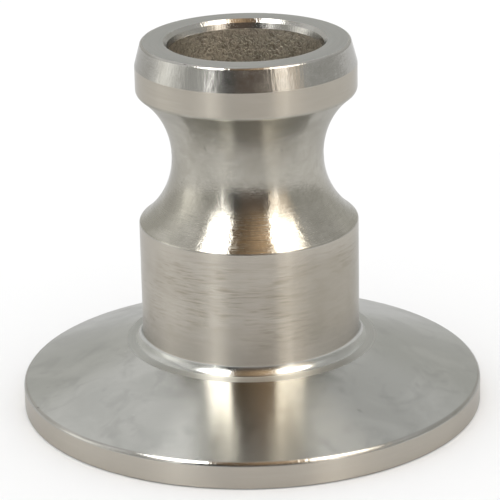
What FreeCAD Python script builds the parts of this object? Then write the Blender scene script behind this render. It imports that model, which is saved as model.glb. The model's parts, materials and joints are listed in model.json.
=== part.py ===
import FreeCAD, Part
import math
import os

# Cam and groove adapter: a half-inch cam and groove head on a one-and-a-half-inch clamp ferrule,
# cast and turned from one piece of stainless steel. Millimetres and degrees, +Z up, with the
# origin at the centre of the gasket face that the part stands on.

# Clamp ferrule
flange_diameter = 50.5
rim_height = 2.85                # up to the sharp corner of rim and cone
back_slope = 20.0                # slope of the flange's upper side, which the clamp wedges on
rim_top_break = 0.6
rim_bottom_break = 0.15
gasket_groove_diameter = 43.6    # across the middle of the groove
gasket_groove_radius = 2.34      # of its section
gasket_groove_depth = 1.6
gasket_lip_break = 0.2

# Body, with a turned ring round its foot that is less steep than the cone
overall_height = 40.8
body_diameter = 23.85
foot_round = 1.2
foot_ring_width = 0.7
foot_ring_slope = 7.0

# Cam and groove head
head_diameter = 23.8
lead_height = 2.5                # tapered band that guides a coupler over the head
lead_slope = 15.0                # from the vertical
face_edge_break = 0.45
cam_groove_from_face = 12.7      # from the sealing face down to the narrowest place
cam_groove_radius = 9.0          # of its section
throat_diameter = 16.4
head_corner_break = 0.7
shoulder_break = 0.7

# Passage, as cast between its turned ends
passage_diameter = 16.4
neck_wall = 1.9                  # least wall between the cam groove and the waist of the passage
waist_slope = 20.0               # of the cones on either side of the waist, from the vertical
mouth_diameter = 17.5
mouth_bevel = 0.38
mouth_taper_height = 0.62        # from the bevel down to the cast wall
outlet_bevel = 0.4

outward = FreeCAD.Vector(1, 0, 0)
up = FreeCAD.Vector(0, 0, 1)


def place(radius, height):
    """Point of the half section, which lies in the XZ plane."""
    return FreeCAD.Vector(radius, 0, height)


def arc_round(centre, start, end):
    """Start, middle and end of the short arc about a centre."""
    half_way = ((start - centre) + (end - centre)).normalize()
    return start, centre + half_way * (start - centre).Length, end


def rounded(before, corner, after, size):
    """Arc that rounds the corner between two straight runs of the section."""
    back = (before - corner).normalize()
    onward = (after - corner).normalize()
    half_angle = back.getAngle(onward) / 2
    reach = size / math.tan(half_angle)
    centre = corner + (back + onward).normalize() * (size / math.sin(half_angle))
    return arc_round(centre, corner + back * reach, corner + onward * reach)


def broken(round_off):
    """Flat bevel from end to end of a round, for an edge that is only broken."""
    return [(round_off[0],), (round_off[-1],)]


def rounded_to_ring(run_point, along, side, ring_centre, ring_radius, size):
    """Arc that rounds the corner where a straight run meets the circle of a ring's section.

    The run goes along one way and meets the circle. The round's centre lies on the given side of
    the run, outside the circle.
    """
    level = run_point + side * size
    to_ring = ring_centre - level
    ahead = to_ring.dot(along)
    aside = (to_ring - along * ahead).Length
    centre = level + along * (ahead - math.sqrt((ring_radius + size) ** 2 - aside ** 2))
    on_run = centre - side * size
    on_ring = centre + (ring_centre - centre).normalize() * size
    return arc_round(centre, on_run, on_ring)


def groove(first_run, last_run, along, side, ring_centre, ring_radius, breaks):
    """Round-bottomed groove from one run to the other, with the edge on each side of it broken."""
    arrive = rounded_to_ring(first_run, along, side, ring_centre, ring_radius, breaks[0])
    leave = rounded_to_ring(last_run, along * -1, side, ring_centre, ring_radius, breaks[1])
    bottom = ring_centre + side * ring_radius
    return [*broken(arrive), (arrive[-1], bottom, leave[-1]), *broken(leave[::-1])]


def section_face(runs):
    """Face inside the closed outline whose corners and arcs come in order, joined by lines."""
    edges = []
    here = runs[-1][-1]
    for run in runs:
        if here.distanceToPoint(run[0]) > 1e-6:
            edges.append(Part.makeLine(here, run[0]))
        if len(run) == 3:
            edges.append(Part.Arc(*run).toShape())
        here = run[-1]
    return Part.Face(Part.Wire(edges))


flange_radius = flange_diameter / 2
body_radius = body_diameter / 2
head_radius = head_diameter / 2
throat_radius = throat_diameter / 2
passage_radius = passage_diameter / 2
mouth_radius = mouth_diameter / 2
groove_ring = place(throat_radius + cam_groove_radius, overall_height - cam_groove_from_face)


def flange_outline():
    """Gasket face with its groove, rim, clamp cone and the ring round the foot."""
    gasket_ring = place(gasket_groove_diameter / 2, gasket_groove_depth - gasket_groove_radius)
    gasket_groove = groove(
        place(0, 0), place(flange_radius, 0), outward, up,
        gasket_ring, gasket_groove_radius, (gasket_lip_break, gasket_lip_break),
    )
    cone_rise = math.tan(math.radians(back_slope))
    ring_radius = body_radius + foot_round * (1 - math.sin(math.radians(foot_ring_slope))) + foot_ring_width
    ring_height = rim_height + (flange_radius - ring_radius) * cone_rise
    foot_height = ring_height + (ring_radius - body_radius) * math.tan(math.radians(foot_ring_slope))
    rim_foot = place(flange_radius, 0)
    rim_head = place(flange_radius, rim_height)
    ring_edge = place(ring_radius, ring_height)
    foot = place(body_radius, foot_height)
    return [
        (place(passage_radius + outlet_bevel, 0),),
        *gasket_groove,
        *broken(rounded(place(0, 0), rim_foot, rim_head, rim_bottom_break)),
        *broken(rounded(rim_foot, rim_head, ring_edge, rim_top_break)),
        (ring_edge,),
        rounded(ring_edge, foot, place(body_radius, overall_height), foot_round),
    ]


def head_outline():
    """Cam groove between body and head, the lead taper and the sealing face."""
    cam_groove = groove(
        place(body_radius, 0), place(head_radius, overall_height), up, outward * -1,
        groove_ring, cam_groove_radius, (shoulder_break, head_corner_break),
    )
    lead_start = place(head_radius, overall_height - lead_height)
    face_edge = place(head_radius - lead_height * math.tan(math.radians(lead_slope)), overall_height)
    mouth_edge = place(mouth_radius, overall_height)
    return [
        *cam_groove,
        (lead_start,),
        *broken(rounded(lead_start, face_edge, mouth_edge, face_edge_break)),
        (mouth_edge,),
    ]


def passage_outline():
    """Mouth, cast wall and waist, which is a ring one wall inside the cam groove with a cone on either side."""
    slope = math.radians(waist_slope)
    ring_radius = cam_groove_radius + neck_wall
    ring_top = groove_ring + outward * (-ring_radius * math.cos(slope)) + up * (ring_radius * math.sin(slope))
    ring_middle = groove_ring - outward * ring_radius
    cone_top = ring_top.z + (passage_radius - ring_top.x) / math.tan(slope)
    ring_foot = place(ring_top.x, 2 * groove_ring.z - ring_top.z)
    cone_foot = 2 * groove_ring.z - cone_top
    return [
        (place(mouth_radius - mouth_bevel, overall_height - mouth_bevel),),
        (place(passage_radius, overall_height - mouth_bevel - mouth_taper_height),),
        (place(passage_radius, cone_top),),
        (ring_top, ring_middle, ring_foot),
        (place(passage_radius, cone_foot),),
        (place(passage_radius, outlet_bevel),),
    ]


section = section_face(flange_outline() + head_outline() + passage_outline())
adapter = section.revolve(place(0, 0), up, 360)

os.makedirs("parts", exist_ok=True)
adapter.exportStep("parts/cam_groove_adapter.step")

print("solids", len(adapter.Solids), "valid", adapter.isValid(), "volume mm3", round(adapter.Volume, 1))
box = adapter.optimalBoundingBox()
print("size mm", round(box.XLength, 3), round(box.YLength, 3), round(box.ZLength, 3))
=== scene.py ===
import json
import math

import bmesh
import bpy
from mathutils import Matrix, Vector


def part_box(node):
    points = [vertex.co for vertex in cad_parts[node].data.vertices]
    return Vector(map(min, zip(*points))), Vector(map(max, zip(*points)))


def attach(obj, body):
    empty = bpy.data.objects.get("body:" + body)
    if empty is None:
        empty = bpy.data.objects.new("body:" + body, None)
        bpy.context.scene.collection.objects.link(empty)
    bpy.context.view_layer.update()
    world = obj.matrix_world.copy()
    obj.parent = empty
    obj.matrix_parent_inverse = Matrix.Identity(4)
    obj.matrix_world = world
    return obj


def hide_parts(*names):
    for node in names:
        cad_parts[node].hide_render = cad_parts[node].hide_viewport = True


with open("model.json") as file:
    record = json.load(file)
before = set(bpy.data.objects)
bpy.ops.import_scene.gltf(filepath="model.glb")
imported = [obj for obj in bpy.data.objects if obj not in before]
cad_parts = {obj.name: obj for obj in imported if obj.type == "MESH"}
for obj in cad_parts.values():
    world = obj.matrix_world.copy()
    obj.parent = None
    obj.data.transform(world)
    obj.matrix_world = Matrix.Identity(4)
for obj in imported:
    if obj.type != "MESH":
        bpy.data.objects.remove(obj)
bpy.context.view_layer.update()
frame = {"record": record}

mm = 0.001


# Camera, at the photograph's height, tilt and distance

cameraView = {
    "lens": 190.65,
    "distance": 289.32 * mm,
    "lookDown": math.radians(19.82),
    "lean": -0.0204,                         # in radians: the camera is held a degree off level
    "target": Vector((0.04, 0.02, 17.0)) * mm,
    "nearest": 1 * mm,
    "farthest": 10.0,
}


def addCamera(view):
    back = Vector((0, -math.cos(view["lookDown"]), math.sin(view["lookDown"])))
    bpy.ops.object.camera_add(location=view["target"] + back * view["distance"])
    camera = bpy.context.object
    camera.data.lens = view["lens"]
    camera.data.clip_start = view["nearest"]
    camera.data.clip_end = view["farthest"]
    camera.rotation_euler = (math.pi / 2 - view["lookDown"], 0, 0)
    camera.rotation_euler.rotate_axis("Z", view["lean"])
    bpy.context.scene.camera = camera


addCamera(cameraView)
bpy.context.scene.view_settings.view_transform = "Standard"
print("camera placed")


# Helpers for modelling by operator

def deselectAll():
    if bpy.context.object and bpy.context.object.mode != "OBJECT":
        bpy.ops.object.mode_set(mode="OBJECT")
    bpy.ops.object.select_all(action="DESELECT")


def selectVertices(piece, wanted):
    bpy.ops.mesh.select_mode(type="VERT")
    bpy.ops.mesh.select_all(action="DESELECT")
    mesh = bmesh.from_edit_mesh(piece.data)
    for vertex in mesh.verts:
        if wanted(vertex):
            vertex.select_set(True)
    bmesh.update_edit_mesh(piece.data)


def mergeDoubles(distance):                  # merges all that meets, and leaves everything selected
    bpy.ops.mesh.select_all(action="SELECT")
    bpy.ops.mesh.remove_doubles(threshold=distance)
    bpy.ops.mesh.select_all(action="SELECT")


def section(radius, height):                 # point of the half section
    return Vector((radius, 0, height))


# Turned piece: its half section is drawn by extruding one vertex, then spun about Z

mounts = {mount["name"]: mount for mount in frame["record"]["mounts"]}
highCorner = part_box("cam_groove_adapter")[1]

adapter = {
    "segments": 288,
    "roundStep": math.radians(9),            # turn of one step in a small round
    "grooveStep": math.radians(2),
    "smoothUnder": math.radians(11),         # edges that turn by more than this stay crisp
    "mergeDistance": 0.001 * mm,
    "flangeRadius": highCorner.x,
    "height": highCorner.z,
    "headRadius": mounts["cam_head"]["dims"]["r_mm"] * mm,
    "bodyRadius": 11.925 * mm,
    "passageRadius": mounts["passage"]["dims"]["r_mm"] * mm,
    "throatRadius": mounts["cam_groove"]["dims"]["r_mm"] * mm,
    "grooveHeight": mounts["cam_groove"]["pos_m"][2],
    "grooveSection": 9.0 * mm,
    "rimHeight": 2.85 * mm,                  # to the sharp corner, before it is rounded
    "backSlope": math.radians(20),
    "rimTopRound": 0.6 * mm,
    "rimBottomRound": 0.15 * mm,
    "gasketGroove": 21.8 * mm,
    "gasketSection": 2.34 * mm,
    "gasketDepth": 1.6 * mm,
    "lipRound": 0.2 * mm,
    "footRound": 1.2 * mm,
    "footRing": 13.68 * mm,                  # outer radius of the flatter ring round the body's foot
    "footRingSlope": math.radians(7),
    "shoulderRound": 0.4 * mm,
    "headCornerRound": 0.7 * mm,
    "leadHeight": 2.5 * mm,
    "leadSlope": math.radians(15),
    "faceRound": 0.35 * mm,
    "mouthRadius": 8.75 * mm,
    "mouthBevel": 0.38 * mm,
    "mouthTaper": 0.62 * mm,
    "neckWall": 1.9 * mm,
    "waistSlope": math.radians(20),
    "outletBevel": 0.4 * mm,
    "edgeRound": 0.06 * mm,                  # of edges that are nearly sharp
    "castRing": 0.16 * mm,                   # spacing of rings in the cast wall
    "outletRing": 0.32 * mm,                 # and below its waist, where they show less
    "castGrain": 0.28 * mm,
    "castDepth": 0.08 * mm,
    "castMargin": 0.01 * mm,                 # the cast skin stops this short of the turned ends
}


def drawLine(pen, to, pieces=1):
    step = (to - pen[0]) / pieces
    for _ in range(pieces):
        bpy.ops.mesh.extrude_region_move(TRANSFORM_OT_translate={"value": step})
    pen[0] = to


def drawArc(pen, centre, to, stepTurn):
    fromWay = math.atan2(pen[0].z - centre.z, pen[0].x - centre.x)
    toWay = math.atan2(to.z - centre.z, to.x - centre.x)
    turn = math.remainder(toWay - fromWay, 2 * math.pi)      # a spin about +Y turns from +X to +Z
    steps = max(2, math.ceil(abs(turn) / stepTurn))
    bpy.ops.mesh.spin(steps=steps, angle=turn, center=centre, axis=(0, 1, 0))
    pen[0] = to


# Centre, start and end of the round between two straight runs
def roundOff(before, corner, after, size):
    back = (before - corner).normalized()
    onward = (after - corner).normalized()
    half = back.angle(onward) / 2
    centre = corner + (back + onward).normalized() * (size / math.sin(half))
    reach = size / math.tan(half)
    return centre, corner + back * reach, corner + onward * reach


# The same where a straight run meets a ring's section: centre, end on the run, end on the ring
def roundOntoRing(run, along, side, ring, ringSize, size):
    level = run + side * size
    ahead = (ring - level).dot(along)
    aside = ((ring - level) - along * ahead).length
    centre = level + along * (ahead - math.sqrt((ringSize + size) ** 2 - aside ** 2))
    return centre, centre - side * size, centre + (ring - centre).normalized() * size


# Draws the section from the outlet's edge round to it again, and gives the points where finishes start
def drawHalfSection(sizes):
    out = Vector((1, 0, 0))
    up = Vector((0, 0, 1))
    turn = sizes["roundStep"]
    height = sizes["height"]
    bodyRadius = sizes["bodyRadius"]
    headRadius = sizes["headRadius"]
    passageRadius = sizes["passageRadius"]
    spacing = sizes["castRing"]

    def corner(before, at, after, size=sizes["edgeRound"]):
        centre, start, end = roundOff(before, at, after, size)
        drawLine(pen, start)
        drawArc(pen, centre, end, turn)

    def groove(firstRun, lastRun, along, side, ring, ringSize, rounds, stepTurn):
        centreIn, onRun, onRing = roundOntoRing(firstRun, along, side, ring, ringSize, rounds[0])
        centreOut, offRun, offRing = roundOntoRing(lastRun, -along, side, ring, ringSize, rounds[1])
        drawLine(pen, onRun)
        drawArc(pen, centreIn, onRing, turn)
        drawArc(pen, ring, offRing, stepTurn)
        drawArc(pen, centreOut, offRun, turn)

    def castRun(to, ringSpacing):            # straight run of the cast wall, cut into rings
        drawLine(pen, to, math.ceil((pen[0] - to).length / ringSpacing))

    # flange and the ring round the body's foot
    outletEdge = section(passageRadius + sizes["outletBevel"], 0)
    outletTop = section(passageRadius, sizes["outletBevel"])
    gasketRing = section(sizes["gasketGroove"], sizes["gasketDepth"] - sizes["gasketSection"])
    rimFoot = section(sizes["flangeRadius"], 0)
    rimHead = section(sizes["flangeRadius"], sizes["rimHeight"])
    coneRise = (sizes["flangeRadius"] - sizes["footRing"]) * math.tan(sizes["backSlope"])
    ringEdge = section(sizes["footRing"], sizes["rimHeight"] + coneRise)
    footRise = (sizes["footRing"] - bodyRadius) * math.tan(sizes["footRingSlope"])
    foot = section(bodyRadius, ringEdge.z + footRise)

    # head and mouth
    leadStart = section(headRadius, height - sizes["leadHeight"])
    leadIn = sizes["leadHeight"] * math.tan(sizes["leadSlope"])
    faceEdge = section(headRadius - leadIn, height)
    mouthEdge = section(sizes["mouthRadius"], height)
    bevelFoot = section(sizes["mouthRadius"] - sizes["mouthBevel"], height - sizes["mouthBevel"])
    taperFoot = section(passageRadius, bevelFoot.z - sizes["mouthTaper"])

    # the waist of the passage follows the cam groove's ring, one wall inside it
    camRing = section(sizes["throatRadius"] + sizes["grooveSection"], sizes["grooveHeight"])
    waistSize = sizes["grooveSection"] + sizes["neckWall"]
    slope = sizes["waistSlope"]
    waistTop = camRing + waistSize * Vector((-math.cos(slope), 0, math.sin(slope)))
    waistFoot = section(waistTop.x, 2 * camRing.z - waistTop.z)
    coneHeight = (passageRadius - waistTop.x) / math.tan(slope)
    coneTop = section(passageRadius, waistTop.z + coneHeight)
    coneFoot = section(passageRadius, 2 * camRing.z - coneTop.z)

    pen = [outletEdge]
    groove(section(0, 0), rimFoot, out, up, gasketRing, sizes["gasketSection"],
           (sizes["lipRound"], sizes["lipRound"]), turn)
    corner(section(0, 0), rimFoot, rimHead, sizes["rimBottomRound"])
    corner(rimFoot, rimHead, ringEdge, sizes["rimTopRound"])
    drawLine(pen, ringEdge)
    corner(ringEdge, foot, section(bodyRadius, height), sizes["footRound"])
    groove(section(bodyRadius, 0), leadStart, up, -out, camRing, sizes["grooveSection"],
           (sizes["shoulderRound"], sizes["headCornerRound"]), sizes["grooveStep"])
    corner(section(headRadius, 0), leadStart, faceEdge)
    corner(leadStart, faceEdge, mouthEdge, sizes["faceRound"])
    corner(faceEdge, mouthEdge, bevelFoot)
    corner(mouthEdge, bevelFoot, taperFoot)
    drawLine(pen, taperFoot)
    castRun(coneTop, spacing)
    castRun(waistTop, spacing)
    drawArc(pen, camRing, waistFoot, spacing / waistSize)
    castRun(coneFoot, spacing)
    castRun(outletTop, sizes["outletRing"])
    drawLine(pen, outletEdge)
    return {"outletTop": outletTop, "ringEdge": ringEdge, "foot": foot, "leadStart": leadStart,
            "taperFoot": taperFoot}


def turnAdapter(sizes):
    deselectAll()
    outletEdge = section(sizes["passageRadius"] + sizes["outletBevel"], 0)
    bpy.ops.mesh.primitive_plane_add(size=mm, location=outletEdge)
    piece = bpy.context.object
    piece.name = "turned_adapter"
    bpy.ops.object.transform_apply(location=True)
    bpy.ops.object.mode_set(mode="EDIT")
    bpy.ops.mesh.select_mode(type="VERT")
    bpy.ops.mesh.select_all(action="SELECT")
    bpy.ops.mesh.merge(type="CENTER")
    levels = drawHalfSection(sizes)
    mergeDoubles(sizes["mergeDistance"])
    bpy.ops.mesh.spin(steps=sizes["segments"], angle=2 * math.pi, center=(0, 0, 0), axis=(0, 0, 1))
    mergeDoubles(sizes["mergeDistance"])
    bpy.ops.mesh.normals_make_consistent(inside=False)
    bpy.ops.object.mode_set(mode="OBJECT")
    bpy.ops.object.shade_smooth_by_angle(angle=sizes["smoothUnder"])
    return piece, levels


turnedAdapter, adapterLevels = turnAdapter(adapter)
print("adapter turned,", len(turnedAdapter.data.polygons), "faces")


# Rough skin of the casting, from below the turned mouth down to the outlet's bevel
def castPassageWall(piece, sizes, levels):
    margin = sizes["castMargin"]
    top = levels["taperFoot"].z - margin
    bottom = levels["outletTop"].z + margin
    widest = sizes["passageRadius"] + 2 * margin
    piece.vertex_groups.new(name="castSkin")
    bpy.ops.object.mode_set(mode="EDIT")
    selectVertices(piece, lambda v: v.co.xy.length < widest and bottom < v.co.z < top)
    piece.vertex_groups.active_index = 0
    bpy.context.tool_settings.vertex_group_weight = 1
    bpy.ops.object.vertex_group_assign()
    bpy.ops.object.mode_set(mode="OBJECT")
    grain = bpy.data.textures.new("castGrain", "CLOUDS")
    grain.noise_scale = sizes["castGrain"]
    grain.noise_depth = 3
    grain.noise_basis = "ORIGINAL_PERLIN"
    bpy.ops.object.modifier_add(type="DISPLACE")
    skin = piece.modifiers[-1]
    skin.texture = grain
    skin.texture_coords = "LOCAL"
    skin.vertex_group = "castSkin"
    skin.mid_level = 0.5
    skin.strength = sizes["castDepth"]
    bpy.ops.object.modifier_apply(modifier=skin.name)


# Shading that follows the large faces beside the small rounds
def weighNormals(piece):
    bpy.ops.object.modifier_add(type="WEIGHTED_NORMAL")
    normals = piece.modifiers[-1]
    normals.keep_sharp = True
    normals.weight = 100
    bpy.ops.object.modifier_apply(modifier=normals.name)


castPassageWall(turnedAdapter, adapter, adapterLevels)
weighNormals(turnedAdapter)
print("cast wall roughened")


# Helpers for node trees

def addNode(tree, kind, at, **values):
    node = tree.nodes.new(kind)
    node.location = at
    for name, value in values.items():
        setattr(node, name, value)
    return node


def plug(tree, socket, value):               # links a socket, or sets a plain value
    if isinstance(value, bpy.types.NodeSocket):
        tree.links.new(value, socket)
    else:
        socket.default_value = value


def feed(tree, node, *inputs):               # plugs a node's inputs in their order
    for socket, value in zip(node.inputs, inputs):
        plug(tree, socket, value)
    return node


def calculate(tree, operation, at, *inputs):
    return feed(tree, addNode(tree, "ShaderNodeMath", at, operation=operation), *inputs).outputs[0]


falling = (1.0, 0.0)                         # for a remap that goes down


def remap(tree, at, value, fromRange, toRange=(0.0, 1.0), smooth=True):
    node = addNode(tree, "ShaderNodeMapRange", at)
    node.interpolation_type = "SMOOTHSTEP" if smooth else "LINEAR"
    return feed(tree, node, value, *fromRange, *toRange).outputs[0]


# A Mix node takes its colours at sockets 6 and 7 and gives the mixed colour at 2
def blendColours(tree, at, factor, first, second, how="MIX"):
    node = addNode(tree, "ShaderNodeMix", at, data_type="RGBA", blend_type=how)
    for socket, value in ((0, factor), (6, first), (7, second)):
        plug(tree, node.inputs[socket], value)
    return node.outputs[2]


def colour(red, green, blue):
    return (red, green, blue, 1)


# Patterns follow Object coordinates, so that they hold still on the metal
def objectPlace(tree, at):
    return addNode(tree, "ShaderNodeTexCoord", at).outputs["Object"]


def splitPlace(tree, at):                    # the x, y and z of Object coordinates
    split = addNode(tree, "ShaderNodeSeparateXYZ", (at[0] + 150, at[1]))
    return feed(tree, split, objectPlace(tree, at)).outputs


def newMaskGroup(name, inputs):              # node group that gives one mask
    group = bpy.data.node_groups.new(name, "ShaderNodeTree")
    for label, value in inputs.items():
        socket = group.interface.new_socket(label, in_out="INPUT", socket_type="NodeSocketFloat")
        socket.default_value = value
    group.interface.new_socket("Mask", in_out="OUTPUT", socket_type="NodeSocketFloat")
    given = addNode(group, "NodeGroupInput", (-1000, 0))
    result = addNode(group, "NodeGroupOutput", (600, 0))
    return group, given.outputs, result.inputs["Mask"]


# Turned marks: noise drawn out along the circles that the lathe tool leaves. Around is how often it
# changes round a circle, Across is how many times per metre it changes from one circle to the next.

def makeTurnedMarks():
    inputs = {"Around": 2.5, "Across": 9000, "Low": 0.3, "High": 0.7}
    group, given, mask = newMaskGroup("turnedMarks", inputs)
    x, y, z = splitPlace(group, (-1000, 300))
    ySquare = calculate(group, "MULTIPLY", (-760, 460), y, y)
    square = calculate(group, "MULTIPLY_ADD", (-640, 400), x, x, ySquare)
    radius = calculate(group, "SQRT", (-500, 400), square)
    unitX = calculate(group, "DIVIDE", (-360, 480), x, radius)
    unitY = calculate(group, "DIVIDE", (-360, 340), y, radius)
    aroundX = calculate(group, "MULTIPLY", (-220, 480), unitX, given["Around"])
    aroundY = calculate(group, "MULTIPLY", (-220, 340), unitY, given["Around"])
    acrossRadius = calculate(group, "MULTIPLY", (-220, 160), radius, given["Across"])
    acrossHeight = calculate(group, "MULTIPLY", (-220, 40), z, given["Across"])
    along = addNode(group, "ShaderNodeCombineXYZ", (0, 200))
    feed(group, along, acrossRadius, aroundX, acrossHeight)
    noise = addNode(group, "ShaderNodeTexNoise", (160, 200), noise_dimensions="4D")
    plug(group, noise.inputs["Vector"], along.outputs[0])
    plug(group, noise.inputs["W"], aroundY)
    plug(group, noise.inputs["Scale"], 1)
    plug(group, noise.inputs["Detail"], 3)
    plug(group, noise.inputs["Roughness"], 0.6)
    group.links.new(remap(group, (360, 200), noise.outputs[0], (given["Low"], given["High"])), mask)
    return group


# Cloudy marks: smudges, stains and, over a narrow range, small specks

def makeCloudyMarks():
    group, given, mask = newMaskGroup("cloudyMarks", {"Scale": 120, "Low": 0.35, "High": 0.65})
    noise = addNode(group, "ShaderNodeTexNoise", (-700, 200))
    plug(group, noise.inputs["Vector"], objectPlace(group, (-1000, 300)))
    plug(group, noise.inputs["Scale"], given["Scale"])
    plug(group, noise.inputs["Detail"], 4)
    plug(group, noise.inputs["Roughness"], 0.55)
    plug(group, noise.inputs["Distortion"], 0.6)
    group.links.new(remap(group, (-250, 200), noise.outputs[0], (given["Low"], given["High"])), mask)
    return group


# Hairlines: thin wandering scratches where a slow noise crosses its middle. A second noise keeps them in
# patches, which start where it passes Cover and are full one Fade above it.

def makeHairlines():
    inputs = {"Scale": 90, "Width": 0.006, "Cover": 0.55, "Fade": 0.08}
    group, given, mask = newMaskGroup("hairlines", inputs)
    place = objectPlace(group, (-1000, 300))
    line = addNode(group, "ShaderNodeTexNoise", (-700, 300))
    cover = addNode(group, "ShaderNodeTexNoise", (-700, 0), noise_dimensions="4D")
    for noise, detail in ((line, 1), (cover, 2)):
        plug(group, noise.inputs["Vector"], place)
        plug(group, noise.inputs["Scale"], given["Scale"])
        plug(group, noise.inputs["Detail"], detail)
    plug(group, cover.inputs["W"], 7)        # any number that keeps it apart from the first noise
    fromMiddle = calculate(group, "SUBTRACT", (-550, 300), line.outputs[0], 0.5)
    offMiddle = calculate(group, "ABSOLUTE", (-400, 300), fromMiddle)
    thin = remap(group, (-200, 300), offMiddle, (0.0, given["Width"]), falling)
    fullCover = calculate(group, "ADD", (-400, -100), given["Cover"], given["Fade"])
    patch = remap(group, (-200, 0), cover.outputs[0], (given["Cover"], fullCover))
    group.links.new(calculate(group, "MULTIPLY", (200, 100), thin, patch), mask)
    return group


turnedMarks = makeTurnedMarks()
cloudyMarks = makeCloudyMarks()
hairlines = makeHairlines()


def marks(tree, group, at, **values):
    node = addNode(tree, "ShaderNodeGroup", at, node_tree=group)
    for name, value in values.items():
        node.inputs[name].default_value = value
    return node.outputs["Mask"]


def newMetal(finish):
    material = bpy.data.materials.new(finish["name"])
    material.use_nodes = True
    tree = material.node_tree
    shader = tree.nodes["Principled BSDF"]
    shader.inputs["Metallic"].default_value = 1
    shader.inputs["Specular Tint"].default_value = finish["edgeTint"]
    if finish["anisotropy"]:
        shader.inputs["Anisotropic"].default_value = finish["anisotropy"]
        shader.inputs["Anisotropic Rotation"].default_value = 0.25     # shine spreads across the lines
        tangent = addNode(tree, "ShaderNodeTangent", (-300, -900), direction_type="RADIAL", axis="Z")
        tree.links.new(tangent.outputs[0], shader.inputs["Tangent"])
    return material, tree, shader


# Each layer is a mask, its strength and a colour
def layerColours(tree, shader, base, layers):
    for index, (mask, strength, tint) in enumerate(layers):
        share = calculate(tree, "MULTIPLY", (-700 + 200 * index, 500), mask, strength)
        base = blendColours(tree, (-600 + 200 * index, 300), share, base, tint)
    tree.links.new(base, shader.inputs["Base Color"])


# Each bump is a mask and its depth
def layerBumps(tree, shader, bumps):
    normal = None
    for index, (mask, depth) in enumerate(bumps):
        bump = addNode(tree, "ShaderNodeBump", (-700 + 180 * index, -500))
        bump.inputs["Strength"].default_value = 1
        bump.inputs["Distance"].default_value = depth
        tree.links.new(mask, bump.inputs["Height"])
        if normal:
            tree.links.new(normal, bump.inputs["Normal"])
        normal = bump.outputs[0]
    tree.links.new(normal, shader.inputs["Normal"])


def varyRoughness(tree, shader, mask, leastAndMost):
    rough = remap(tree, (-300, -200), mask, (0.0, 1.0), leastAndMost)
    tree.links.new(rough, shader.inputs["Roughness"])


# Mask of a range of heights: 0 below it and above it, each end faded over a pair of heights
def between(tree, at, fadeIn, fadeOut):
    height = splitPlace(tree, at)[2]
    lowEnd = remap(tree, (at[0] + 300, at[1] + 60), height, fadeIn)
    highEnd = remap(tree, (at[0] + 300, at[1] - 60), height, fadeOut, falling)
    return calculate(tree, "MULTIPLY", (at[0] + 450, at[1]), lowEnd, highEnd)


edgeTint = colour(0.80, 0.80, 0.80)          # keeps the silhouettes from going white


# Satin turned steel: body, straight band of the head and rim

satinFinish = {
    "name": "satinTurnedSteel",
    "light": colour(0.475, 0.443, 0.392),
    "dark": colour(0.435, 0.404, 0.354),
    "stain": colour(0.25, 0.222, 0.165),
    "stainedFrom": (8.0 * mm, 12.0 * mm),    # stains fade in over these heights on the body
    "stainedTo": (18.0 * mm, 21.0 * mm),
    "dullFrom": (34.0 * mm, 35.0 * mm),      # and the head's band is a little dull all over
    "dullTo": (38.3 * mm, 38.8 * mm),
    "paintedShadeSide": (1.0 * mm, 7.0 * mm),        # painted shade: the body is painted darker, in the stain's colour, over this way towards +X, where less light falls
    "bandStrength": 0.20,
    "cloudStrength": 0.25,
    "bodyCloudStrength": 0.15,
    "dashStrength": 0.55,
    "headStrength": 0.18,
    "paintedShadeStrength": 0.30,
    "roughness": (0.22, 0.245),              # least and most
    "anisotropy": 1.0,
    "edgeTint": edgeTint,
    "lineDepth": 0.0008 * mm,
    "waveDepth": 0.0012 * mm,
}


def makeSatin(finish):
    material, tree, shader = newMetal(finish)
    lines = marks(tree, turnedMarks, (-1200, 800), Around=2.0, Across=9000)
    bands = marks(tree, turnedMarks, (-1200, 600), Around=1.5, Across=420)
    dashes = marks(tree, turnedMarks, (-1200, 400), Around=7, Across=7000, Low=0.50, High=0.66)
    blotches = marks(tree, cloudyMarks, (-1200, 200), Scale=110, Low=0.36, High=0.56)
    clouds = marks(tree, cloudyMarks, (-1200, 0), Scale=320, Low=0.40, High=0.66)
    body = between(tree, (-1200, -200), finish["stainedFrom"], finish["stainedTo"])
    head = between(tree, (-1200, -700), finish["dullFrom"], finish["dullTo"])
    # painted shade: the body's colour darkens towards +X, standing in for the dimmer light on that side
    shadeTowardsRight = remap(tree, (-900, -900), splitPlace(tree, (-1200, -900))[0], finish["paintedShadeSide"])
    blotchedDashes = calculate(tree, "MULTIPLY", (-1000, 100), dashes, blotches)
    bodyDashes = calculate(tree, "MULTIPLY", (-900, 200), blotchedDashes, body)
    bodyClouds = calculate(tree, "MULTIPLY", (-900, 0), clouds, body)
    paintedSideShade = calculate(tree, "MULTIPLY", (-750, -900), shadeTowardsRight, body)
    base = blendColours(tree, (-900, 600), lines, finish["dark"], finish["light"])
    layerColours(tree, shader, base, [
        (bands, finish["bandStrength"], finish["dark"]),
        (clouds, finish["cloudStrength"], finish["dark"]),
        (bodyClouds, finish["bodyCloudStrength"], finish["stain"]),
        (bodyDashes, finish["dashStrength"], finish["stain"]),
        (head, finish["headStrength"], finish["stain"]),
        (paintedSideShade, finish["paintedShadeStrength"], finish["stain"]),
    ])
    varyRoughness(tree, shader, bands, finish["roughness"])
    layerBumps(tree, shader, [(lines, finish["lineDepth"]), (bands, finish["waveDepth"])])
    return material


# Polished steel: lead taper, mouth, gasket groove and small rounds

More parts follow.
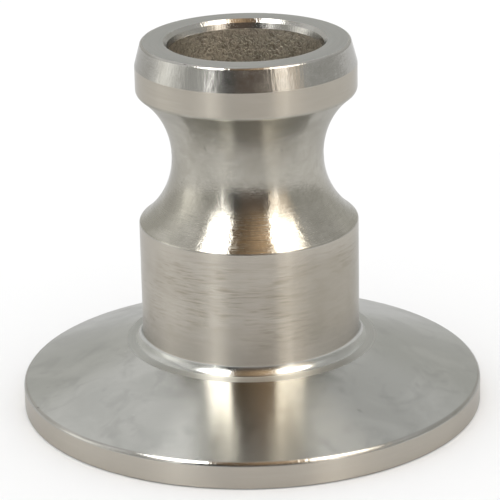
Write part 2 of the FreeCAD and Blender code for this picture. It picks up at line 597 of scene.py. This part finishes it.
polishedFinish = {
    "name": "polishedSteel",
    "light": colour(0.415, 0.406, 0.383),
    "dark": colour(0.345, 0.335, 0.308),
    "speck": colour(0.16, 0.15, 0.14),
    "mottleStrength": 0.35,
    "scratchStrength": 0.35,
    "speckStrength": 0.8,
    "roughness": (0.15, 0.25),
    "anisotropy": 0.9,
    "edgeTint": edgeTint,
    "chatterDepth": 0.007 * mm,
    "dashDepth": 0.005 * mm,
}

# The round that joins the body to the ring at its foot, brighter than the other rounds and smoother

footFinish = {
    **polishedFinish,
    "name": "footRoundSteel",
    "light": colour(0.490, 0.490, 0.465),
    "dark": colour(0.420, 0.420, 0.395),
    "roughness": (0.18, 0.23),
    "anisotropy": 0.8,
    "chatterDepth": 0.001 * mm,
    "dashDepth": 0.001 * mm,
}


def makePolished(finish):
    material, tree, shader = newMetal(finish)
    smudges = marks(tree, cloudyMarks, (-1200, 600), Scale=110, Low=0.42, High=0.66)
    mottle = marks(tree, cloudyMarks, (-1200, 400), Scale=420, Low=0.50, High=0.66)
    specks = marks(tree, cloudyMarks, (-1200, 200), Scale=900, Low=0.70, High=0.74)
    scratches = marks(tree, hairlines, (-1200, 0), Scale=70, Width=0.004, Cover=0.52)
    chatter = marks(tree, turnedMarks, (-1200, -200), Around=34, Across=600)
    dashes = marks(tree, turnedMarks, (-1200, -400), Around=10, Across=2200)
    base = blendColours(tree, (-900, 600), smudges, finish["light"], finish["dark"])
    layerColours(tree, shader, base, [
        (mottle, finish["mottleStrength"], finish["dark"]),
        (scratches, finish["scratchStrength"], finish["dark"]),
        (specks, finish["speckStrength"], finish["speck"]),
    ])
    varyRoughness(tree, shader, smudges, finish["roughness"])
    layerBumps(tree, shader, [(chatter, finish["chatterDepth"]), (dashes, finish["dashDepth"])])
    return material


# The clamp cone, polished along its turning lines, so that its shine spreads outwards from the axis

coneFinish = {
    "name": "clampConeSteel",
    "light": colour(0.450, 0.450, 0.427),
    "dark": colour(0.400, 0.402, 0.380),
    "scuff": colour(0.31, 0.31, 0.295),
    "speck": colour(0.17, 0.16, 0.15),
    "lineStrength": 0.12,
    "scuffStrength": 0.40,
    "scratchStrength": 0.30,
    "speckStrength": 0.2,
    "roughness": (0.17, 0.20),
    "anisotropy": 1.0,
    "edgeTint": edgeTint,
    "chatterDepth": 0.001 * mm,
    "lineDepth": 0.0006 * mm,
}


def makeCone(finish):
    material, tree, shader = newMetal(finish)
    smudges = marks(tree, cloudyMarks, (-1200, 600), Scale=100, Low=0.42, High=0.64)
    scuffs = marks(tree, cloudyMarks, (-1200, 400), Scale=330, Low=0.50, High=0.72)
    specks = marks(tree, cloudyMarks, (-1200, 200), Scale=1000, Low=0.68, High=0.73)
    scratches = marks(tree, hairlines, (-1200, 0), Scale=70, Width=0.004, Cover=0.52)
    chatter = marks(tree, turnedMarks, (-1200, -200), Around=20, Across=900)
    lines = marks(tree, turnedMarks, (-1200, -400), Around=4, Across=6000)
    base = blendColours(tree, (-900, 600), smudges, finish["light"], finish["dark"])
    layerColours(tree, shader, base, [
        (lines, finish["lineStrength"], finish["dark"]),
        (scuffs, finish["scuffStrength"], finish["scuff"]),
        (scratches, finish["scratchStrength"], finish["scuff"]),
        (specks, finish["speckStrength"], finish["speck"]),
    ])
    varyRoughness(tree, shader, smudges, finish["roughness"])
    layerBumps(tree, shader, [(chatter, finish["chatterDepth"]), (lines, finish["lineDepth"])])
    return material


# Turned steel of the cam groove: satin above the throat, brighter below, with rough lines at its foot

grooveFinish = {
    "name": "turnedSteel",
    "light": colour(0.460, 0.440, 0.392),
    "dark": colour(0.350, 0.333, 0.290),
    "speck": colour(0.16, 0.15, 0.14),
    "lineStrength": 0.35,
    "mottleStrength": 0.50,
    "dashStrength": 0.35,
    "speckStrength": 0.6,
    "roughness": (0.15, 0.26),
    "brightToSatin": (26.5 * mm, 30.0 * mm),
    "linedBelow": (23.5 * mm, 25.5 * mm),    # where the turning lines are rough
    "lineRoughness": 0.16,
    "anisotropy": 1.0,
    "edgeTint": edgeTint,
    "chatterDepth": 0.006 * mm,
    "dashDepth": 0.004 * mm,
}


def makeTurned(finish):
    material, tree, shader = newMetal(finish)
    smudges = marks(tree, cloudyMarks, (-1200, 600), Scale=160, Low=0.42, High=0.66)
    mottle = marks(tree, cloudyMarks, (-1200, 400), Scale=700, Low=0.40, High=0.64)
    specks = marks(tree, cloudyMarks, (-1200, 200), Scale=1000, Low=0.68, High=0.74)
    lines = marks(tree, turnedMarks, (-1200, 0), Around=3, Across=7000)
    chatter = marks(tree, turnedMarks, (-1200, -200), Around=20, Across=1500)
    dashes = marks(tree, turnedMarks, (-1200, -400), Around=10, Across=2400)
    base = blendColours(tree, (-900, 600), smudges, finish["light"], finish["dark"])
    layerColours(tree, shader, base, [
        (lines, finish["lineStrength"], finish["dark"]),
        (mottle, finish["mottleStrength"], finish["dark"]),
        (dashes, finish["dashStrength"], finish["dark"]),
        (specks, finish["speckStrength"], finish["speck"]),
    ])
    height = splitPlace(tree, (-1200, -700))[2]
    byHeight = remap(tree, (-700, -700), height, finish["brightToSatin"], finish["roughness"])
    lined = remap(tree, (-700, -850), height, finish["linedBelow"], (finish["lineRoughness"], 0.0))
    rough = calculate(tree, "MULTIPLY_ADD", (-500, -750), lines, lined, byHeight)
    tree.links.new(rough, shader.inputs["Roughness"])
    layerBumps(tree, shader, [(chatter, finish["chatterDepth"]), (dashes, finish["dashDepth"])])
    return material


# Faced steel: the flat sealing face and the gasket face

facedFinish = {
    "name": "facedSteel",
    "light": colour(0.375, 0.375, 0.36),
    "dark": colour(0.335, 0.335, 0.32),
    "smudgeStrength": 0.3,
    "roughness": 0.35,
    "anisotropy": 0,
    "edgeTint": edgeTint,
    "lineDepth": 0.003 * mm,
}

# The ring round the body's foot, duller than the cone so that its edge hardly shows

ringFinish = {
    **facedFinish,
    "name": "footRingSteel",
    "light": colour(0.440, 0.440, 0.417),
    "dark": colour(0.385, 0.387, 0.367),
    "roughness": 0.42,
    "anisotropy": 0.5,
    "lineDepth": 0.001 * mm,
}


def makeFaced(finish):
    material, tree, shader = newMetal(finish)
    lines = marks(tree, turnedMarks, (-1200, 600), Around=1.5, Across=7000)
    smudges = marks(tree, cloudyMarks, (-1200, 400), Scale=200, Low=0.45, High=0.65)
    base = blendColours(tree, (-900, 600), lines, finish["dark"], finish["light"])
    layerColours(tree, shader, base, [(smudges, finish["smudgeStrength"], finish["dark"])])
    shader.inputs["Roughness"].default_value = finish["roughness"]
    layerBumps(tree, shader, [(lines, finish["lineDepth"])])
    return material


# Cast steel: the passage wall, as it left the mould

castFinish = {
    "name": "castSteel",
    "light": colour(0.58, 0.54, 0.47),
    "dark": colour(0.40, 0.37, 0.32),
    "pit": colour(0.22, 0.20, 0.17),
    "pitStrength": 0.7,
    "roughness": 0.38,
    "anisotropy": 0,
    "edgeTint": colour(1, 1, 1),
    "grainDepth": 0.030 * mm,
}


def makeCast(finish):
    material, tree, shader = newMetal(finish)
    grain = marks(tree, cloudyMarks, (-1200, 400), Scale=3200, Low=0.35, High=0.65)
    pits = marks(tree, cloudyMarks, (-1200, 200), Scale=1800, Low=0.54, High=0.66)
    base = blendColours(tree, (-900, 400), grain, finish["dark"], finish["light"])
    layerColours(tree, shader, base, [(pits, finish["pitStrength"], finish["pit"])])
    shader.inputs["Roughness"].default_value = finish["roughness"]
    layerBumps(tree, shader, [(grain, finish["grainDepth"])])
    return material


finishes = {
    "satin": makeSatin(satinFinish),
    "polished": makePolished(polishedFinish),
    "faced": makeFaced(facedFinish),
    "cast": makeCast(castFinish),
    "groove": makeTurned(grooveFinish),
    "cone": makeCone(coneFinish),
    "footRound": makePolished(footFinish),
    "footRing": makeFaced(ringFinish),
}
print("finishes made")


# Where each finish lies. A face's tilt is 1 where it lies flat and 0 where it stands upright.

finishPlaces = {
    "flat": 0.999,                           # a face is flat from this tilt,
    "shallow": 0.90,                         # as shallow as the foot's ring from this one,
    "wall": 0.2,                             # and a wall below this one
    "atEnd": 0.01 * mm,                      # faced surfaces lie this close to the top or the bottom
    "outsideThroat": 3.0 * mm,               # the satin walls stand this far outside the throat
    "ringTop": 1.0 * mm,                     # above the sharp corner of body and ring
    "footTop": 2.0 * mm,
    "overRim": 0.1 * mm,                     # the cone's finish starts this far above the rim's corner
}


def finishOf(face, sizes, levels, places):
    radius = face.center.xy.length
    height = face.center.z
    tilt = abs(face.normal.z)
    facesAxis = face.normal.xy.dot(face.center.xy) < 0
    foot = levels["foot"].z
    ringEdge = levels["ringEdge"].z
    if facesAxis and sizes["outletBevel"] < height < levels["taperFoot"].z:
        return "cast"
    if tilt > places["flat"] and min(height, sizes["height"] - height) < places["atEnd"]:
        return "faced"
    if tilt > places["shallow"] and ringEdge < height < foot + places["ringTop"]:
        return "footRing"
    if tilt < places["wall"] and radius > sizes["throatRadius"] + places["outsideThroat"]:
        return "satin"
    if radius < sizes["headRadius"] and foot + places["footTop"] < height < levels["leadStart"].z:
        return "groove"
    if height > sizes["rimHeight"] + places["overRim"] and radius > sizes["footRing"]:
        return "cone"
    if ringEdge < height < foot + places["footTop"]:
        return "footRound"
    return "polished"


def applyFinishes(piece, sizes, levels, places):
    piece.data.materials.clear()
    for material in finishes.values():
        piece.data.materials.append(material)
    order = list(finishes)
    for face in piece.data.polygons:
        face.material_index = order.index(finishOf(face, sizes, levels, places))


applyFinishes(turnedAdapter, adapter, adapterLevels, finishPlaces)
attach(turnedAdapter, "root")
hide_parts("cam_groove_adapter")
print("finishes applied")


# Floor

floorSettings = {
    "size": 3.0,
    "drop": 0.02 * mm,
    "white": colour(0.90, 0.90, 0.90),
}


def addFloor(settings):
    deselectAll()
    bpy.ops.mesh.primitive_plane_add(size=settings["size"], location=(0, 0, -settings["drop"]))
    floor = bpy.context.object
    floor.name = "floor"
    material = bpy.data.materials.new("paleFloor")
    material.use_nodes = True
    shader = material.node_tree.nodes["Principled BSDF"]
    shader.inputs["Base Color"].default_value = settings["white"]
    shader.inputs["Roughness"].default_value = 1
    shader.inputs["Specular IOR Level"].default_value = 0
    floor.data.materials.append(material)


addFloor(floorSettings)
print("floor laid")


# Studio: a white tent with a dark opening in front and overhead, a bright strip on each side of the
# opening, and three narrow lamps. All of it is drawn by the way that a ray looks, whose parts aside,
# forward and up run from -1 to 1. A pair of them is where something fades in or out.

studio = {
    "floorLight": 1.15,                      # plain light that falls on the floor
    "edge": 0.02,                            # softness of the strips' edges
    "openLeft": ((0.50, 0.0), (0.27, 0.205)),      # how far aside an edge lies, as shares of forward
    "openRight": ((0.55, 0.0), (0.32, 0.222)),     # and up: two pairs make one edge with a bend
    "leftInner": (0.965, -0.888),            # the left strip narrows towards the floor
    "leftOuter": (0.80, 0.73),
    "rightOuter": (1.38, 0.84),
    "ahead": (-0.12, 0.05),                  # forward: strips and opening end overhead
    "stripFoot": (-0.02, 0.12),              # up
    "leftFade": (0.16, 0.28),                # how far in from its outer edge a strip is still dim,
    "rightFade": (0.60, 0.26),               # low down and overhead,
    "fadeRise": (0.2, 0.8),                  # from the one to the other over this way up
    "leftEdgeLevel": 0.78,
    "rightEdgeLevel": 0.85,
    "leftTint": colour(1.0, 0.995, 0.975),
    "rightTint": colour(1.0, 0.87, 0.72),
    "rightTintHigh": colour(1.0, 0.94, 0.85),
    "rightTintRise": (0.2, 0.7),
    "gap": 0.065,                            # dark frame outside the left strip
    "gapRise": (0.25, 0.45),
    "gapTint": colour(0.50, 0.49, 0.46),
    "openingLow": colour(0.17, 0.135, 0.11),
    "openingHigh": colour(0.36, 0.245, 0.145),
    "openingRise": (0.3, 0.95),
    "openingShade": colour(0.105, 0.105, 0.10),
    "shadeAside": (0.08, 0.30),              # to the left
    "shadeRise": (0.45, 0.75),
    "openingWarm": colour(1.30, 0.92, 0.58),
    "warmAside": (-0.08, 0.3),               # to the right
    "warmRise": (0.45, 0.85),
    "tentLeft": colour(1.04, 1.04, 1.03),
    "tentRight": colour(0.88, 0.88, 0.87),
    "tentAside": (-0.4, 0.4),
    "tentDull": colour(0.66, 0.66, 0.65),    # beside the strips overhead
    "dullLean": 0.3,                         # its hind border runs aslant, farther back on the right
    "dullFrom": (-0.58, -0.36),              # forward
    "dullTo": (-0.10, 0.02),
    "wallTint": colour(1, 1, 0.96),
    "wallTop": (0.35, 0.6),                  # up
}

# brightness of the tent's wall near the floor, by angle from the front, in degrees towards +X
wallLevels = {
    -180: 0.85, -150: 0.85, -125: 0.75, -108: 1.00, -98: 1.80, -88: 1.60, -77: 1.05, -63: 0.60,
    -54: 0.60, -46: 0.72, -36: 0.62, -28: 0.38, 0: 0.38, 28: 0.50, 46: 0.90, 55: 0.70, 64: 0.60,
    80: 0.56, 108: 0.60, 144: 0.75, 180: 0.85,
}

# brightness of the strips, by height from the floor at 0 to overhead at 1
leftLevels = {
    0: 0.55, 0.16: 0.65, 0.26: 1.4, 0.36: 1.5, 0.52: 1.0, 0.62: 1.8, 0.74: 12.0, 0.93: 12.0, 1: 3.0,
}
rightLevels = {
    0: 1.1, 0.16: 1.3, 0.26: 2.2, 0.40: 2.1, 0.52: 1.4, 0.62: 2.0, 0.72: 8.0, 0.93: 8.0, 1: 3.0,
}

# narrow upright lamps: angle from the front and width, in degrees, and brightness by height
lamps = [
    {"angle": -38.0, "width": 1.6, "levels": {
        0: 5.0, 0.12: 2.4, 0.34: 2.5, 0.52: 2.0, 0.66: 20.0, 0.8: 24.0, 0.86: 4.0, 1: 0.0}},
    {"angle": -95.0, "width": 1.8, "levels": {
        0: 0.0, 0.4: 0.0, 0.6: 1.0, 0.92: 2.0, 0.97: 0.0, 1: 0.0}},
    {"angle": 40.0, "width": 4.0, "levels": {
        0: 2.4, 0.2: 1.6, 0.4: 1.0, 0.54: 0.8, 0.64: 8.0, 0.74: 10.0, 0.83: 0.0, 1: 0.0}},
]


def makeStudio(setup):
    world = bpy.context.scene.world or bpy.data.worlds.new("studio")
    bpy.context.scene.world = world
    world.cycles.sampling_method = "NONE"    # so that each kind of ray meets its own light
    world.use_nodes = True
    tree = world.node_tree
    tree.nodes.clear()
    way = addNode(tree, "ShaderNodeTexCoord", (-2600, 0)).outputs["Generated"]
    x, y, z = feed(tree, addNode(tree, "ShaderNodeSeparateXYZ", (-2400, 0)), way).outputs
    front = calculate(tree, "MULTIPLY", (-2200, 100), y, -1.0)
    left = calculate(tree, "MULTIPLY", (-2200, 0), x, -1.0)
    angle = calculate(tree, "ARCTAN2", (-2000, -200), x, front)
    turn = calculate(tree, "MULTIPLY_ADD", (-1850, -200), angle, 1 / (2 * math.pi), 0.5)

    def reach(row, shares):                  # how far aside an edge lies, for its shares
        part = calculate(tree, "MULTIPLY", (-2000, row), z, shares[1])
        return calculate(tree, "MULTIPLY_ADD", (-1850, row), front, shares[0], part)

    def larger(row, first, second):
        return calculate(tree, "MAXIMUM", (-1700, row), first, second)

    def past(row, first, second):            # 1 where the first amount is the larger, softly
        over = calculate(tree, "SUBTRACT", (-1500, row), first, second)
        return remap(tree, (-1300, row), over, (-setup["edge"], setup["edge"]))

    def both(row, first, second):
        return calculate(tree, "MULTIPLY", (-1050, row), first, second)

    def levelsOver(row, value, levels):      # a level that follows a list of places from 0 to 1
        ramp = addNode(tree, "ShaderNodeValToRGB", (-1500, row))
        ramp.color_ramp.interpolation = "EASE"
        stops = ramp.color_ramp.elements
        most = max(levels.values())
        for at, level in levels.items():
            stop = stops[0] if at == 0 else stops[-1] if at == 1 else stops.new(at)
            stop.position = at
            stop.color = colour(level / most, level / most, level / most)
        tree.links.new(value, ramp.inputs[0])
        return calculate(tree, "MULTIPLY", (-1200, row), ramp.outputs[0], most)

    def lit(row, tint, level):               # a tint at a level of brightness
        return blendColours(tree, (-700, row), 1.0, tint, level, "MULTIPLY")

    # wall near the floor, by its angle from the front, and the tent above it
    wall = levelsOver(-200, turn, {degrees / 360 + 0.5: level for degrees, level in wallLevels.items()})
    wallColour = lit(-200, setup["wallTint"], wall)
    lowDown = remap(tree, (-1500, -400), z, setup["wallTop"], falling)
    acrossTent = remap(tree, (-1100, -350), x, setup["tentAside"])
    above = blendColours(tree, (-900, -300), acrossTent, setup["tentLeft"], setup["tentRight"])
    aslant = calculate(tree, "MULTIPLY_ADD", (-1650, -500), x, setup["dullLean"], front)
    duller = both(-500, remap(tree, (-1500, -500), aslant, setup["dullFrom"]),
                  remap(tree, (-1500, -550), front, setup["dullTo"], falling))
    above = blendColours(tree, (-800, -400), duller, above, setup["tentDull"])
    scene = blendColours(tree, (-500, -200), lowDown, above, wallColour)

    # the opening is brown, dark on its left, lighter overhead and warm on its right
    openLeft = larger(600, *[reach(650, share) for share in setup["openLeft"]])
    openRight = larger(400, *[reach(450, share) for share in setup["openRight"]])
    ahead = remap(tree, (-1300, 700), front, setup["ahead"])
    opening = both(500, both(600, past(600, openLeft, left), past(450, openRight, x)), ahead)
    shade = both(-700, remap(tree, (-1300, -700), left, setup["shadeAside"]),
                 remap(tree, (-1300, -800), z, setup["shadeRise"], falling))
    high = remap(tree, (-1300, -600), z, setup["openingRise"])
    dark = blendColours(tree, (-900, -500), high, setup["openingLow"], setup["openingHigh"])
    dark = blendColours(tree, (-700, -500), shade, dark, setup["openingShade"])
    warm = both(-900, remap(tree, (-1300, -900), x, setup["warmAside"], smooth=False),
                remap(tree, (-1300, -1000), z, setup["warmRise"]))
    dark = blendColours(tree, (-500, -500), warm, dark, setup["openingWarm"])
    scene = blendColours(tree, (-300, -200), opening, scene, dark)

    # strips on either side of it, with a dark frame outside the left one
    upright = both(-1300, remap(tree, (-1300, -1300), z, setup["stripFoot"]), ahead)
    leftOuter = reach(200, setup["leftOuter"])
    leftFrom = past(300, left, larger(250, openLeft, reach(250, setup["leftInner"])))
    leftStrip = both(250, both(300, leftFrom, past(200, leftOuter, left)), upright)
    framed = past(150, calculate(tree, "ADD", (-1650, 150), leftOuter, setup["gap"]), left)
    frameHigh = remap(tree, (-1300, 100), z, setup["gapRise"])
    gap = both(150, both(100, leftFrom, framed), both(80, frameHigh, ahead))
    rightOuter = reach(0, setup["rightOuter"])
    rightStrip = both(50, both(0, past(20, x, openRight), past(-20, rightOuter, x)), upright)

    def stripLevel(row, side, outer, aside, levels):     # dimmer towards its outer edge
        edgeLevel = setup[side + "EdgeLevel"]
        inside = calculate(tree, "SUBTRACT", (-1650, row), outer, aside)
        dimWidth = remap(tree, (-1650, row + 50), z, setup["fadeRise"], setup[side + "Fade"])
        core = remap(tree, (-1450, row), inside, (0.0, dimWidth))
        full = calculate(tree, "SUBTRACT", (-900, row), levelsOver(row - 100, z, levels), edgeLevel)
        return calculate(tree, "MULTIPLY_ADD", (-800, row), both(row, core, core), full, edgeLevel)

    leftLevel = stripLevel(-1600, "left", leftOuter, left, leftLevels)
    rightLevel = stripLevel(-2000, "right", rightOuter, x, rightLevels)
    rightHigh = remap(tree, (-1100, -50), z, setup["rightTintRise"])
    rightHue = blendColours(tree, (-900, -50), rightHigh, setup["rightTint"], setup["rightTintHigh"])
    scene = blendColours(tree, (-500, 0), gap, scene, setup["gapTint"])
    scene = blendColours(tree, (-400, 0), leftStrip, scene, lit(250, setup["leftTint"], leftLevel))
    scene = blendColours(tree, (-200, 0), rightStrip, scene, lit(50, rightHue, rightLevel))

    def lampGlow(row, lamp):
        aside = calculate(tree, "SUBTRACT", (-1650, row), turn, lamp["angle"] / 360 + 0.5)
        off = calculate(tree, "ABSOLUTE", (-1500, row), aside)
        narrow = remap(tree, (-1300, row), off, (0.0, lamp["width"] / 360), falling)
        return both(row, narrow, levelsOver(row - 250, z, lamp["levels"]))

    glow = 0.0
    for index, lamp in enumerate(lamps):
        row = -2400 - 500 * index
        glow = calculate(tree, "ADD", (-300, row), lampGlow(row, lamp), glow)
    scene = blendColours(tree, (-100, 0), 1.0, scene, glow, "ADD")

    # shine sees the tent, the floor gets plain light, and the camera and glass see white
    def background(row, light, strength):
        return feed(tree, addNode(tree, "ShaderNodeBackground", (200, row)), light, strength).outputs[0]

    def mixLight(at, share, first, second):
        return feed(tree, addNode(tree, "ShaderNodeMixShader", at), share, first, second).outputs[0]

    white = colour(1, 1, 1)
    ray = addNode(tree, "ShaderNodeLightPath", (-200, 500)).outputs
    seen = calculate(tree, "MAXIMUM", (0, 400), ray["Is Camera Ray"], ray["Is Transmission Ray"])
    tentLight = background(0, scene, 1.0)
    plainLight = background(-150, white, setup["floorLight"])
    plainWhite = background(-300, white, 1.0)
    light = mixLight((400, 0), ray["Is Diffuse Ray"], tentLight, plainLight)
    shown = mixLight((600, 0), seen, light, plainWhite)
    feed(tree, addNode(tree, "ShaderNodeOutputWorld", (800, 0)), shown)


makeStudio(studio)
print("studio lit")
